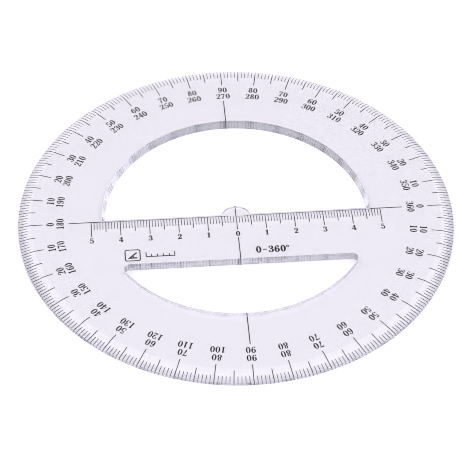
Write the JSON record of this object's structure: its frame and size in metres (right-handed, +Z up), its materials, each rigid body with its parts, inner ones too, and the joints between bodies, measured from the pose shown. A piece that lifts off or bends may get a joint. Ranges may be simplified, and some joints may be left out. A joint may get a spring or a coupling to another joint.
{
  "type": "protractor",
  "caption": "Clear full-circle protractor plate with bevelled rim, two openings, a centre ruler bar and degree and millimetre scales printed underneath.",
  "frame": {"origin": "centre of the circle, where the base line meets the centre line, on the face the plate rests on", "axes": "+X to the right along the base line, +Y towards the 90 degree mark above the half-moon opening, +Z up out of the face that is read"},
  "size_m": [0.15, 0.15, 0.0032],
  "materials": {
    "plate": "polished clear moulded plastic with a faint lavender tint",
    "ink": "black printed ink, satin"
  },
  "bodies": {
    "root": {"plate": "plate", "degree_marks_1": "ink", "degree_marks_5": "ink", "degree_marks_10": "ink", "outer_numbers_top": "ink", "inner_numbers_top": "ink", "outer_numbers_bottom": "ink", "inner_numbers_bottom": "ink", "base_line": "ink", "centre_line_top": "ink", "centre_line_lug": "ink", "centre_line_bar": "ink", "centre_line_bottom": "ink", "ruler_marks_1": "ink", "ruler_marks_5": "ink", "ruler_marks_10": "ink", "ruler_numbers": "ink", "angle_sign": "ink", "scale_bar": "ink", "range_number": "ink"}
  },
  "joints": []
}
